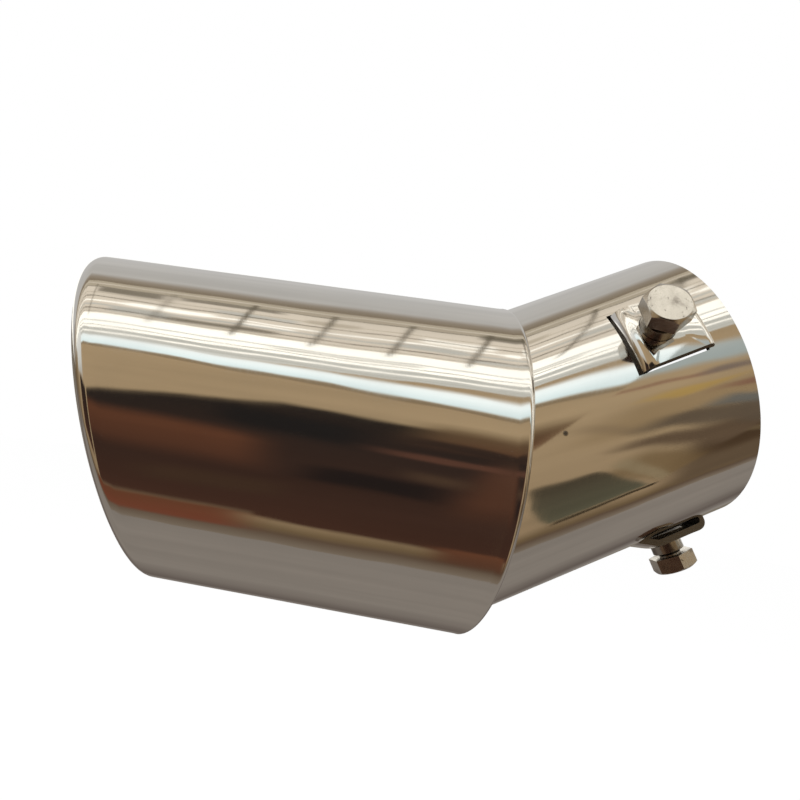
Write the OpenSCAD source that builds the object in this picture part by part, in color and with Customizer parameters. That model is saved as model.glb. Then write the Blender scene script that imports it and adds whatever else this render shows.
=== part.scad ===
// Bent clamp-on exhaust tip: a tapered round shell with a slanted, rolled
// outlet, and an inlet pipe that leaves the back of the shell at an angle.
// Two clamp points near the inlet mouth hold it on the car's tailpipe.
//
// Frame, in mm: +X runs along the shell's axis from the outlet to the back,
// +Z is up, +Y is away from the side with the upper clamp. The origin is on
// the pipe's axis, level with the inner side of its slanted mouth.

/* [Shell] */
// Outside diameter of the shell at its back edge
shell_back_d = 84; // [82:0.5:88]
// Outside diameter of the shell where its axis leaves the outlet
shell_front_d = 73; // [70:0.5:80]
// Length of the shell on its axis, from the outlet to the back face
shell_len = 88.5; // [70:0.5:130]
// Slant of the outlet, the top being the longer side, in degrees
outlet_slant = 19.6; // [0:0.2:24]
// Thickness of the shell's sheet
shell_wall = 1.2; // [0.8:0.1:1.6]
// Outside radius of the roll round the outlet
lip_r = 3; // [2.4:0.1:4]
// Angle through which the edge is rolled, in degrees
lip_turn = 200; // [150:10:240]
// Outside radius of the bend at the back edge
back_bend_r = 1.6; // [1:0.1:2]

/* [Pipe] */
// Outside diameter of the inlet pipe
pipe_d = 69.8; // [66:0.2:70]
// Thickness of the pipe's sheet
pipe_wall = 1.2; // [0.8:0.1:1.4]
// Length on the pipe's axis from the shell's back face to the mouth
pipe_len = 58.7; // [54:0.5:90]
// Angle between the pipe and the shell, in degrees
bend_angle = 29.2; // [20:0.2:30]
// Height of the pipe's axis over the shell's axis at the back face
pipe_rise = 1.7; // [0:0.1:2]
// Slant of the mouth, the top being the longer side, in degrees
mouth_slant = 7; // [0:0.5:8]
// Length of pipe left inside the shell, ahead of the back face
pipe_inside = 2.5; // [1.5:0.1:2.8]

/* [Clamps] */
// Clock angle of the upper clamp, 0 at the near side and 90 at the top
upper_clock_angle = 31; // [15:1:50]
// Clock angle of the lower clamp
lower_clock_angle = -80; // [-100:1:-60]
// Distance from the upper bolt to the shorter side of the mouth
upper_inset = 12; // [12:0.1:16]
// Distance from the lower bolt to the shorter side of the mouth
lower_inset = 14.4; // [12:0.1:16]
// Width of each tongue, round the pipe
tongue_w = 16.4; // [14:0.2:18]
// Height of the upper tongue's outer face over the pipe
upper_lift = 1.9; // [1.9:0.1:3]
// Height of the lower tongue's outer face over the pipe
lower_lift = 2.9; // [2.4:0.1:4]
// Length of the upper tongue from the bolt to its free end
upper_front = 7.1; // [7:0.1:9]
// Length of the lower tongue from the bolt to its free end
lower_front = 11; // [10:0.1:12]
// Length of the upper tongue from the bolt to its root
upper_back = 11.1; // [8:0.1:11.4]
// Length of the lower tongue from the bolt to its root
lower_back = 8.2; // [8:0.1:11]
// Slope of the upper tongue's free end, in degrees
upper_ramp_angle = 60; // [45:1:62]
// Slope of the lower tongue's free end, in degrees
lower_ramp_angle = 28; // [26:1:36]
// Depth of the upper tongue's free end under the pipe's outer face
upper_tip_depth = 1; // [0.2:0.1:1.1]
// Depth of the lower tongue's free end
lower_tip_depth = 0.3; // [0.2:0.1:1.1]
// Outside radius of the bend that leads to the free end
curl_r = 3.5; // [2.6:0.1:3.5]
// Outside radius of the bend at the root
root_r = 2; // [1.5:0.1:2.1]
// Gap left in the wall in front of the free end
slot_gap = 0.5; // [0.4:0.1:1.2]
// Gap left in the wall beside the tongue
side_gap = 0.3; // [0.2:0.1:0.6]

/* [Nuts] */
// Width of the square plate of each nut
nut_w = 9; // [8.6:0.1:9]
// Thickness of the square plate
nut_h = 1.2; // [1:0.1:1.2]
// Diameter of the round collar that stands up through the tongue
collar_d = 8; // [7.6:0.1:8.4]
// Height of the collar above its plate
collar_h = 4.2; // [4:0.1:5]
// Turn of the lower nut about its own axis, in degrees
lower_nut_turn = 10; // [0:1:10]

/* [Bolts] */
// Diameter of the bolt's shank
bolt_d = 6; // [5:0.1:6]
// Length of the shank under the head
bolt_len = 6.8; // [6:0.1:6.8]
// Width of the hexagon head across its flats
head_af = 10; // [9:0.1:10.4]
// Height of the head
head_h = 4; // [3:0.1:5]
// Gap between the collar and the upper bolt's head
upper_backed_out = 2; // [1.4:0.1:3]
// Gap between the collar and the lower bolt's head
lower_backed_out = 0.9; // [0.4:0.1:3]
// Turn of the upper bolt's head about its own axis, in degrees
upper_head_turn = 47; // [0:1:60]
// Turn of the lower bolt's head about its own axis, in degrees
lower_head_turn = 8; // [0:1:60]

/* [Fits] */
// Radial clearance of the bolts in their nuts
thread_play = 0.05; // [0.02:0.01:0.1]
// Radial clearance of the collars in the tongues
collar_play = 0.1; // [0.05:0.01:0.2]
// Gap between the corners of a nut's plate and its curved tongue
plate_play = 0.05; // [0.02:0.01:0.1]
// Radial clearance of the pipe in the shell's back face
weld_play = 0.05; // [0.02:0.01:0.1]

/* [Hidden] */
$fn = 96;
steel = [0.78, 0.77, 0.75];
plated = [0.7, 0.7, 0.68];
cut_size = 400;

back_r = shell_back_d / 2;
front_r = shell_front_d / 2;
pipe_r = pipe_d / 2;
bore_r = pipe_r - pipe_wall;
taper = (back_r - front_r) / shell_len;
taper_len = sqrt(1 + taper * taper);
slant = tan(outlet_slant);

// the shell's back face, seen from the origin at the mouth
mouth_drop = pipe_r * tan(mouth_slant);
pipe_to_back = pipe_len - mouth_drop;
back_x = -pipe_to_back * cos(bend_angle);
back_z = -pipe_to_back * sin(bend_angle) - pipe_rise;

// the middle of the roll runs in one slanted plane round the shell
lip_plane = shell_len - lip_r / cos(outlet_slant);
lip_steps = 60;
turn_steps = 8;
lip_root = 2.4;
lip_inset = 0.2;
lip_join = 1;

// the tongues' ends run level with the slanted mouth, so they are askew
upper_skew = atan(tan(mouth_slant) * cos(upper_clock_angle));
lower_skew = atan(tan(mouth_slant) * cos(lower_clock_angle));
bend_steps = 6;
window_side = tongue_w / 2 + side_gap;

// the level of a nut's plate, whose corners reach 0.6 widths to the side
function plate_top(lift) =
    sqrt(pow(pipe_r + lift - pipe_wall, 2) - pow(0.6 * nut_w, 2)) - plate_play;

// points round an arc, from the top to the angle a
function arc(middle, r, a) =
    [for (i = [0 : bend_steps]) middle + r * [cos(a * i / bend_steps), sin(a * i / bend_steps)]];
function flip(points) = [for (i = [len(points) - 1 : -1 : 0]) points[i]];

// the place on the outer wall where the roll starts, at the angle a
function lip_start_x(a) =
    -(lip_plane + taper * lip_r / taper_len + slant * (back_r - lip_r / taper_len) * sin(a))
    / (1 + slant * taper * sin(a));
function wall_r(x) = back_r + taper * x;
function wall_point(x, a) = [x, wall_r(x) * cos(a), wall_r(x) * sin(a)];
function wall_normal(a) = [-taper, cos(a), sin(a)] / taper_len;
function wall_forward(a) = [-1, -taper * cos(a), -taper * sin(a)] / taper_len;
function lip_middle(a) = wall_point(lip_start_x(a), a) - lip_r * wall_normal(a);
function unit(v) = v / norm(v);
function lip_forward(a) = unit(cross(lip_middle(a + 1) - lip_middle(a - 1), wall_normal(a)));

// a point of the roll, at the angle a round the shell and t round the roll
function lip_point(a, t, r) =
    lip_middle(a) + r * (cos(t) * wall_normal(a) + sin(t) * lip_forward(a));

// a point of the roll's root, which sits inside the sheet of the wall
function root_point(a, depth) =
    wall_point(lip_start_x(a), a) - lip_root * wall_forward(a) - depth * wall_normal(a);

// one closed section through the rolled edge, at the angle a
function lip_section(a) = concat(
    [root_point(a, lip_inset)],
    [for (i = [0 : turn_steps]) lip_point(a, lip_turn * i / turn_steps, lip_r)],
    [for (i = [turn_steps : -1 : 0]) lip_point(a, lip_turn * i / turn_steps, lip_r - shell_wall)],
    [root_point(a, shell_wall - lip_inset)]
);

module along_x() {
    rotate([0, 90, 0])
        children();
}

module in_shell_frame() {
    translate([back_x, 0, back_z])
        children();
}

module in_pipe_frame() {
    rotate([0, -bend_angle, 0])
        children();
}

// +Z leaves the pipe's axis through the bolt, +X runs to the mouth
module in_clamp_frame(clock, inset) {
    in_pipe_frame()
        rotate([90 - clock, 0, 0])
            translate([-inset, 0, 0])
                children();
}

module in_upper_frame() {
    in_clamp_frame(upper_clock_angle, upper_inset)
        children();
}

module in_lower_frame() {
    in_clamp_frame(lower_clock_angle, lower_inset)
        children();
}

module pipe_bar(r) {
    in_pipe_frame()
        translate([-cut_size / 2, 0, 0])
            along_x()
                cylinder(r = r, h = cut_size);
}

// the space on the pipe's side of an upright plane inside the shell
module behind(inside) {
    translate([back_x - inside, -cut_size / 2, -cut_size / 2])
        cube([cut_size, cut_size, cut_size]);
}

module lip_ring() {
    rows = 2 * turn_steps + 4;
    points = [for (s = [0 : lip_steps - 1]) each lip_section(360 * s / lip_steps)];
    faces = [
        for (s = [0 : lip_steps - 1])
            for (i = [0 : rows - 1])
                let (n = (s + 1) % lip_steps, j = (i + 1) % rows)
                    each [
                        [s * rows + i, n * rows + j, s * rows + j],
                        [s * rows + i, n * rows + i, n * rows + j]
                    ]
    ];
    polyhedron(points = points, faces = faces, convexity = 6);
}

// half of the shell's section, with the radius along x and the axis along y
module shell_section() {
    front = -shell_len - back_r * slant - 5;
    far_r = wall_r(front);
    bend = [for (i = [0 : 6]) back_bend_r * [sin(15 * i), cos(15 * i)]];
    inner_r = back_r - shell_wall;
    polygon(concat(
        [[far_r - shell_wall, front], [far_r, front]],
        [for (i = [6 : -1 : 0]) [back_r - back_bend_r, -back_bend_r] + bend[i]],
        [[pipe_r / 2, 0], [pipe_r / 2, -shell_wall], [inner_r, -shell_wall]]
    ));
}

module outer_shell() {
    lip_cut = lip_start_x(0);
    top_x = lip_start_x(90);
    bottom_x = lip_start_x(-90);
    lip_lean = atan((bottom_x - top_x) / (wall_r(top_x) + wall_r(bottom_x)));
    color(steel) {
        difference() {
            in_shell_frame() {
                difference() {
                    along_x()
                        rotate_extrude()
                            shell_section();
                    translate([lip_cut + lip_join, 0, 0])
                        rotate([0, -lip_lean, 0])
                            translate([-cut_size, -cut_size / 2, -cut_size / 2])
                                cube([cut_size, cut_size, cut_size]);
                }
                lip_ring();
            }
            intersection() {
                pipe_bar(pipe_r + weld_play);
                behind(pipe_inside + 0.2);
            }
        }
    }
}

// a tongue's side view, with the radius along x and the pipe's axis along y
module tongue_section(lift, front, back, ramp, depth) {
    top = pipe_r + lift;
    run = (lift - curl_r * (1 - cos(ramp))) / tan(ramp);
    curl_middle = [top - curl_r, run + curl_r * sin(ramp) - front];
    root_middle = [top - root_r, back - root_r];
    foot = pipe_r - pipe_wall / 2;
    tip = [pipe_r - depth, -front - depth / tan(ramp)];
    polygon(concat(
        [tip],
        flip(arc(curl_middle, curl_r, -ramp)),
        arc(root_middle, root_r, 90),
        [[foot, back], [foot, back - pipe_wall]],
        flip(arc(root_middle, root_r - pipe_wall, 90)),
        arc(curl_middle, curl_r - pipe_wall, -ramp),
        [tip + pipe_wall * [-cos(ramp), sin(ramp)]]
    ));
}

// a strip of the wall, bent outwards but still curved round the pipe's axis
module tongue(lift, front, back, ramp, depth, skew) {
    difference() {
        intersection() {
            rotate([0, 0, -skew])
                along_x()
                    rotate_extrude()
                        tongue_section(lift, front, back, ramp, depth);
            translate([-pipe_r, -tongue_w / 2, pipe_r / 2])
                cube([2 * pipe_r, tongue_w, pipe_r]);
        }
        translate([0, 0, pipe_r / 2])
            cylinder(d = collar_d + 2 * collar_play, h = pipe_r);
    }
}

module tongue_window(front, back, ramp, depth, skew) {
    from = -front - depth / tan(ramp) - slot_gap;
    to = back - pipe_wall;
    intersection() {
        translate([-pipe_r, -window_side, pipe_r / 2])
            cube([2 * pipe_r, 2 * window_side, pipe_r]);
        rotate([0, 0, -skew])
            translate([from, -pipe_r, 0])
                cube([to - from, 2 * pipe_r, 2 * pipe_r]);
    }
}

module inlet_pipe() {
    color(steel) {
        difference() {
            union() {
                difference() {
                    intersection() {
                        pipe_bar(pipe_r);
                        behind(pipe_inside);
                    }
                    in_upper_frame()
                        tongue_window(upper_front, upper_back, upper_ramp_angle, upper_tip_depth, upper_skew);
                    in_lower_frame()
                        tongue_window(lower_front, lower_back, lower_ramp_angle, lower_tip_depth, lower_skew);
                }
                in_upper_frame()
                    tongue(upper_lift, upper_front, upper_back, upper_ramp_angle, upper_tip_depth, upper_skew);
                in_lower_frame()
                    tongue(lower_lift, lower_front, lower_back, lower_ramp_angle, lower_tip_depth, lower_skew);
            }
            pipe_bar(bore_r);
            in_pipe_frame()
                translate([mouth_drop, 0, 0])
                    rotate([0, mouth_slant, 0])
                        translate([0, -cut_size / 2, -cut_size / 2])
                            cube([cut_size, cut_size, cut_size]);
        }
    }
}

module collar_nut(lift, turn) {
    level = plate_top(lift);
    color(plated) {
        rotate([0, 0, turn]) {
            difference() {
                union() {
                    translate([-nut_w / 2, -nut_w / 2, level - nut_h])
                        cube([nut_w, nut_w, nut_h]);
                    translate([0, 0, level - nut_h / 2])
                        cylinder(d = collar_d, h = nut_h / 2 + collar_h);
                }
                translate([0, 0, level - 2 * nut_h])
                    cylinder(r = bolt_d / 2 + thread_play, h = 3 * nut_h + collar_h);
            }
        }
    }
}

module clamp_bolt(lift, backed_out, turn) {
    seat = plate_top(lift) + collar_h + backed_out;
    corner_r = head_af / 2 / cos(30);
    face_r = 0.47 * head_af;
    color(plated) {
        translate([0, 0, seat - bolt_len])
            cylinder(d = bolt_d, h = bolt_len + head_h / 2);
        rotate([0, 0, turn]) {
            intersection() {
                translate([0, 0, seat])
                    cylinder(r = corner_r, h = head_h, $fn = 6);
                translate([0, 0, seat])
                    cylinder(r1 = face_r + head_h / tan(30), r2 = face_r, h = head_h);
            }
        }
    }
}

module upper_nut() {
    in_upper_frame()
        collar_nut(upper_lift, -upper_skew);
}

module lower_nut() {
    in_lower_frame()
        collar_nut(lower_lift, lower_nut_turn);
}

module upper_bolt() {
    in_upper_frame()
        clamp_bolt(upper_lift, upper_backed_out, upper_head_turn);
}

module lower_bolt() {
    in_lower_frame()
        clamp_bolt(lower_lift, lower_backed_out, lower_head_turn);
}

outer_shell();
inlet_pipe();
upper_nut();
lower_nut();
upper_bolt();
lower_bolt();
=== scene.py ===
import math

import bmesh
import bpy
from mathutils import Matrix, Vector


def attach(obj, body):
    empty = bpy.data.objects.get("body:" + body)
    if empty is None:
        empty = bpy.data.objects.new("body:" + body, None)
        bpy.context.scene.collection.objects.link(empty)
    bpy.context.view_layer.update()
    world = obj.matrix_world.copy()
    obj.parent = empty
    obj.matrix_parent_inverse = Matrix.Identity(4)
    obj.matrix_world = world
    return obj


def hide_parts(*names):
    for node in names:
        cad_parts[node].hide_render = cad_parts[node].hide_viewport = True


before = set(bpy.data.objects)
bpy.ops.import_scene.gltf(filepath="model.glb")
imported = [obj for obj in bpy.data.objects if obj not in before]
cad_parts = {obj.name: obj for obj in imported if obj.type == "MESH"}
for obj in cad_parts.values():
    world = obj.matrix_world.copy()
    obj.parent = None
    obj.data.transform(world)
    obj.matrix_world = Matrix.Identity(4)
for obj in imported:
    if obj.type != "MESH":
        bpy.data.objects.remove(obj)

MM = 0.001

# The sizes of the part, in mm and degrees, as in its CAD source
SHELL_LEN = 88.5
BACK_R = 42.0
FRONT_R = 36.5
SLANT = 19.6
SHEET = 1.2
LIP_R = 3.0
LIP_TURN = 200.0
LIP_SETBACK = 0.06  # keeps the roll's foremost point within the CAD box
BACK_BEND_R = 1.6
PIPE_R = 34.9
BORE_R = 33.7
BEND = 29.2
PIPE_RISE = 1.7
MOUTH_SLANT = 7.0
PIPE_INSIDE = 2.5
BACK = Vector((-47.5, 0.0, -28.247))
CLOCKS = {"upper": 31.0, "lower": -80.0}
INSET = {"upper": 12.0, "lower": 14.4}
LIFT = {"upper": 1.9, "lower": 2.9}
TONGUE_FRONT = {"upper": 7.1, "lower": 11.0}
TONGUE_BACK = {"upper": 11.1, "lower": 8.2}
RAMP = {"upper": math.radians(60), "lower": math.radians(28)}
TONGUE_W = 16.4
CURL_R = 3.5
ROOT_R = 2.0
SLOT_GAP = 0.5
SIDE_GAP = 0.3
TIP_DEPTH = {"upper": 1.0, "lower": 0.3}
COLLAR_D = 8.0
COLLAR_H = 4.2
NUT_W = 9.0
NUT_H = 1.2
BOLT_D = 6.0
BOLT_LEN = 6.8
HEAD_AF = 10.0
HEAD_H = 4.0
BACKED_OUT = {"upper": 2.0, "lower": 0.9}
HEAD_TURN = {"upper": 47.0, "lower": 8.0}

FIT_GAP = 0.05  # round the pipe in the shell's back, and over the nuts' plates
HOLE_GAP = 0.1  # round a nut's collar in its tongue
# scene.py only: how far the tongues' sheared sides are drawn in, outside and inside
EDGE_DRAG = (0.1, 0.5)

SKEW = {
    k: math.atan(math.tan(math.radians(MOUTH_SLANT)) * math.cos(math.radians(c)))
    for k, c in CLOCKS.items()
}
NUT_TURN = {"upper": -SKEW["upper"], "lower": math.radians(10)}
PLATE_TOP = {
    k: math.sqrt((PIPE_R + v - SHEET) ** 2 - (0.6 * NUT_W) ** 2) - FIT_GAP for k, v in LIFT.items()
}

TAPER = (BACK_R - FRONT_R) / SHELL_LEN
TAPER_LEN = math.hypot(1, TAPER)
TAN_SLANT = math.tan(math.radians(SLANT))

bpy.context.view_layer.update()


# Mesh helpers

def lerp(a, b, t):
    return a + (b - a) * t


def new_object(name, data):
    obj = bpy.data.objects.new(name, data)
    bpy.context.scene.collection.objects.link(obj)
    return obj


def make_piece(name, verts, faces, node, material, bevel=None, sharp=35, inside=None):
    """A smooth-shaded mesh in mm, in the row frame, that stands for a CAD node.

    inside gives, for each face, 1 on the unpolished inner side of the sheet and 0 outside. On the
    pipe's cut faces and on the bolts' threaded shanks it marks painted shade.
    """
    mesh = bpy.data.meshes.new(name)
    mesh.from_pydata([Vector(v) * MM for v in verts], [], faces)
    if inside:
        attr = mesh.attributes.new("inside", "FLOAT", "FACE")
        attr.data.foreach_set("value", inside)
    mesh.validate()
    bm = bmesh.new()
    bm.from_mesh(mesh)
    bmesh.ops.recalc_face_normals(bm, faces=bm.faces)
    bm.to_mesh(mesh)
    bm.free()
    mesh.shade_smooth()
    mesh.set_sharp_from_angle(angle=math.radians(sharp))
    obj = new_object(name, mesh)
    mesh.materials.append(material)
    if bevel:
        mod = obj.modifiers.new("edges", "BEVEL")
        mod.width = bevel * MM
        mod.segments = 3
        mod.limit_method = "ANGLE"
        mod.angle_limit = math.radians(30)
        mod.harden_normals = True
    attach(obj, "root")
    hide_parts(node)
    return obj


def grid_faces(rows, cols, close_cols=False, close_rows=False):
    """Quads of a grid whose vertex (i, j) is number i * cols + j."""
    out = []
    for i in range(rows if close_rows else rows - 1):
        for j in range(cols if close_cols else cols - 1):
            n, m = (i + 1) % rows, (j + 1) % cols
            out.append((i * cols + j, i * cols + m, n * cols + m, n * cols + j))
    return out


# Materials

def blank_material(name):
    """A material with nothing but its output node."""
    mat = bpy.data.materials.new(name)
    mat.use_nodes = True
    tree = mat.node_tree
    tree.nodes.clear()
    return mat, tree, tree.nodes.new("ShaderNodeOutputMaterial")


def node_material(name):
    """A material with one Principled shader."""
    mat, tree, out = blank_material(name)
    shader = tree.nodes.new("ShaderNodeBsdfPrincipled")
    tree.links.new(shader.outputs["BSDF"], out.inputs["Surface"])
    return mat, tree, shader


def add(tree, kind, **values):
    """A node whose inputs, or else its own settings, get the given values."""
    node = tree.nodes.new(kind)
    for key, value in values.items():
        if key in node.inputs:
            node.inputs[key].default_value = value
        else:
            setattr(node, key, value)
    return node


def object_coords(tree, scale, turn=(0, 0, 0)):
    coords = add(tree, "ShaderNodeTexCoord")
    mapping = add(tree, "ShaderNodeMapping")
    mapping.inputs["Scale"].default_value = scale
    mapping.inputs["Rotation"].default_value = turn
    tree.links.new(coords.outputs["Object"], mapping.inputs["Vector"])
    return mapping.outputs["Vector"]


def noise(tree, vector, scale, detail=3.0, rough=0.5):
    tex = add(tree, "ShaderNodeTexNoise", Scale=scale, Detail=detail, Roughness=rough)
    tree.links.new(vector, tex.inputs["Vector"])
    return tex.outputs["Fac"]


def remap(tree, value, lo, hi, to_lo, to_hi):
    """value from lo to hi, stretched to run from to_lo to to_hi."""
    node = add(tree, "ShaderNodeMapRange")
    for key, v in (("From Min", lo), ("From Max", hi), ("To Min", to_lo), ("To Max", to_hi)):
        node.inputs[key].default_value = v
    tree.links.new(value, node.inputs["Value"])
    return node.outputs["Result"]


def colour_ramp(tree, value, stops):
    node = add(tree, "ShaderNodeValToRGB")
    ramp = node.color_ramp
    ramp.elements[0].position, ramp.elements[0].color = stops[0][0], (*stops[0][1], 1)
    ramp.elements[1].position, ramp.elements[1].color = stops[-1][0], (*stops[-1][1], 1)
    for pos, col in stops[1:-1]:
        ramp.elements.new(pos).color = (*col, 1)
    tree.links.new(value, node.inputs["Fac"])
    return node.outputs["Color"]


def bump(tree, height, strength, distance, below=None):
    node = add(tree, "ShaderNodeBump", Strength=strength, Distance=distance)
    tree.links.new(height, node.inputs["Height"])
    if below is not None:
        tree.links.new(below, node.inputs["Normal"])
    return node.outputs["Normal"]


def larger(tree, a, b):
    node = add(tree, "ShaderNodeMath", operation="MAXIMUM")
    tree.links.new(a, node.inputs[0])
    tree.links.new(b, node.inputs[1])
    return node.outputs[0]


def polished_steel(name, turn, dull_and_shade_tone, specks=()):
    """Mirror-polished stainless sheet: faint polishing lines, a soft smear and a slight ripple.

    The sheet's inner side isn't polished and takes the given inner tone, which for the pipe is
    dark: painted shade on its bore and cut faces. specks are small dark marks.
    """
    mat, tree, shader = node_material(name)
    link = tree.links.new
    even = object_coords(tree, (1, 1, 1), turn)
    lines = object_coords(tree, (1, 0.02, 0.02), turn)
    smear = noise(tree, even, 55, 4, 0.6)
    fine = noise(tree, lines, 5200, 3, 0.6)
    tint = colour_ramp(tree, smear, [(0.3, (0.80, 0.785, 0.765)), (0.7, (0.765, 0.755, 0.74))])
    inside = add(tree, "ShaderNodeAttribute", attribute_name="inside").outputs["Fac"]
    # the inner tone: on the pipe it is dark, painted shade on the bore and the cut faces
    dull_and_shade = colour_ramp(tree, smear, [(0.3, tuple(0.7 * c for c in dull_and_shade_tone)), (0.7, dull_and_shade_tone)])
    for spot, size in specks:
        away = add(tree, "ShaderNodeVectorMath", operation="DISTANCE")
        away.inputs[1].default_value = spot
        link(add(tree, "ShaderNodeTexCoord").outputs["Object"], away.inputs[0])
        mark = remap(tree, away.outputs["Value"], size * 0.5, size, 0.9, 0.0)
        inside = larger(tree, inside, mark)
    skin = add(tree, "ShaderNodeMix", data_type="RGBA")
    link(inside, skin.inputs[0])
    link(tint, skin.inputs[6])
    link(dull_and_shade, skin.inputs[7])
    link(skin.outputs[2], shader.inputs["Base Color"])
    shader.inputs["Metallic"].default_value = 1.0
    rough_a = remap(tree, smear, 0.35, 0.7, 0.035, 0.075)
    rough_b = remap(tree, fine, 0.35, 0.75, 0.0, 0.03)
    total = add(tree, "ShaderNodeMath", operation="ADD")
    link(rough_a, total.inputs[0])
    link(rough_b, total.inputs[1])
    matt = add(tree, "ShaderNodeMix", B=0.5)
    link(inside, matt.inputs[0])
    link(total.outputs[0], matt.inputs[2])
    link(matt.outputs[0], shader.inputs["Roughness"])
    ripple = bump(tree, noise(tree, even, 34, 2, 0.45), 0.35, 0.00022)
    link(bump(tree, fine, 0.05, 0.00001, ripple), shader.inputs["Normal"])
    return mat


def plated_steel(name, worn, bright, rough):
    """Bright plating, dulled: grainy, with dark worn patches, small pits, and its threaded shank
    painted near-black as shade.
    """
    mat, tree, shader = node_material(name)
    link = tree.links.new
    even = object_coords(tree, (1, 1, 1))
    patch = noise(tree, even, 260, 4, 0.55)
    pits = noise(tree, even, 1500, 2, 0.5)
    grain = noise(tree, even, 3800, 3, 0.6)
    brightest = tuple(min(1.0, 1.1 * c) for c in bright)
    tint = colour_ramp(tree, patch, [(0.28, worn), (0.44, bright), (0.8, brightest)])
    spots = remap(tree, pits, 0.66, 0.74, 0.0, 0.7)
    # the marked shank is painted near-black: painted shade under the head and in the gap under the
    # tongue; the pits are real
    shank_shade = add(tree, "ShaderNodeAttribute", attribute_name="inside").outputs["Fac"]
    pits_and_shade = larger(tree, spots, shank_shade)
    skin = add(tree, "ShaderNodeMix", data_type="RGBA")
    link(pits_and_shade, skin.inputs[0])
    link(tint, skin.inputs[6])
    skin.inputs[7].default_value = (0.05, 0.043, 0.038, 1)
    link(skin.outputs[2], shader.inputs["Base Color"])
    shader.inputs["Metallic"].default_value = 1.0
    link(remap(tree, patch, 0.3, 0.75, rough[1], rough[0]), shader.inputs["Roughness"])
    coarse = bump(tree, patch, 0.2, 0.00012)
    dents = bump(tree, spots, -0.3, 0.00006, coarse)
    link(bump(tree, grain, 0.1, 0.00002, dents), shader.inputs["Normal"])
    return mat


# The shell

def wall_r(x):
    return BACK_R + TAPER * x


def lip_start_x(a):
    """Where the wall ends and the outlet's roll starts, in one slanted plane."""
    s = math.sin(a)
    plane = SHELL_LEN - LIP_SETBACK - LIP_R / math.cos(math.radians(SLANT))
    reach = LIP_R / TAPER_LEN
    return -(plane + TAPER * reach + TAN_SLANT * (BACK_R - reach) * s) / (1 + TAN_SLANT * TAPER * s)


def wall_point(x, a, inset=0.0):
    r = wall_r(x) - inset
    return Vector((x, r * math.cos(a), r * math.sin(a)))


def wall_normal(a):
    return Vector((-TAPER, math.cos(a), math.sin(a))) / TAPER_LEN


def lip_middle(a):
    return wall_point(lip_start_x(a), a) - LIP_R * wall_normal(a)


def lip_forward(a):
    d = math.radians(1)
    return (lip_middle(a + d) - lip_middle(a - d)).cross(wall_normal(a)).normalized()


def hole_r(a):
    """Radius, in the back face, of the hole that takes the pipe."""
    c, s, k = math.cos(a), math.sin(a), math.cos(math.radians(BEND)) ** 2
    qa = c * c + s * s * k
    qb = -2 * s * PIPE_RISE * k
    qc = PIPE_RISE**2 * k - (PIPE_R + FIT_GAP) ** 2
    return (-qb + math.sqrt(qb * qb - 4 * qa * qc)) / (2 * qa)


def ripple(a, x):
    """The slight unevenness of thin polished sheet, in mm."""
    wide = 0.012 * math.sin(3 * a + 0.07 * x + 0.6) * math.sin(0.11 * x + 1.1)
    return wide + 0.006 * math.sin(7 * a - 0.05 * x)


SHELL_COLS = 384
WALL_STEPS = 44
ROLL_STEPS = 22
INNER_STEPS = 13
BACK_STEPS = 8
HEEL = 0.4  # how far the sheet's inner corner at the back is cut off


def shell_section(a):
    """The closed outline of the sheet at the angle a round the shell."""
    n, fwd, mid = wall_normal(a), lip_forward(a), lip_middle(a)
    start = lip_start_x(a)
    out = []
    for i in range(WALL_STEPS + 1):
        x = lerp(-BACK_BEND_R, start, i / WALL_STEPS)
        out.append(wall_point(x, a) + n * ripple(a, x) * min(1, 4 * (1 - i / WALL_STEPS)))
    for i in range(1, ROLL_STEPS + 1):
        t = math.radians(LIP_TURN * i / ROLL_STEPS)
        out.append(mid + LIP_R * (math.cos(t) * n + math.sin(t) * fwd))
    for i in range(ROLL_STEPS, 0, -1):
        t = math.radians(LIP_TURN * i / ROLL_STEPS)
        out.append(mid + (LIP_R - SHEET) * (math.cos(t) * n + math.sin(t) * fwd))
    for i in range(INNER_STEPS + 1):
        out.append(wall_point(lerp(start, -SHEET - HEEL, i / INNER_STEPS), a, SHEET))
    face_r = BACK_R - BACK_BEND_R
    hole = hole_r(a)
    drop = math.tan(math.radians(BEND)) * math.sin(a)
    inner = min(BACK_R - SHEET - HEEL, hole - SHEET * drop)
    out.append(Vector((-SHEET, inner * math.cos(a), inner * math.sin(a))))
    hole_in = hole - SHEET * drop * 0.9
    out.append(Vector((-SHEET, hole_in * math.cos(a), hole_in * math.sin(a))))
    end = 90.0
    if hole > face_r:
        end = math.degrees(math.acos(min(1, (hole - face_r) / BACK_BEND_R)))
    bend = []
    for i in range(BACK_STEPS + 1):
        t = math.radians(end * i / BACK_STEPS)
        r = face_r + BACK_BEND_R * math.cos(t)
        bend.append((-BACK_BEND_R + BACK_BEND_R * math.sin(t), r))
    rim = min(hole, bend[-1][1])
    face = [(bend[-1][0], lerp(rim, bend[-1][1], k)) for k in (0.0, 0.35, 0.7)]
    for x, r in face + bend[:0:-1]:
        out.append(Vector((x, r * math.cos(a), r * math.sin(a))))
    return out


def build_shell(material):
    rings = [
        [p + BACK for p in shell_section(2 * math.pi * k / SHELL_COLS)] for k in range(SHELL_COLS)
    ]
    verts = [p for ring in rings for p in ring]
    faces = grid_faces(SHELL_COLS, len(rings[0]), close_cols=True, close_rows=True)
    # the outer wall and the roll come first, then the roll's, the wall's and the back's inner side
    marks = [0.0] * (WALL_STEPS + ROLL_STEPS + 1) + [1.0] * (ROLL_STEPS + INNER_STEPS + 3)
    marks += [0.0] * (len(rings[0]) - len(marks))
    return make_piece(
        "shell", verts, faces, "outer_shell", material, sharp=40,
        inside=marks * SHELL_COLS,
    )


# The pipe

PIPE_TURN = Matrix.Rotation(-math.radians(BEND), 4, "Y")


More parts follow.
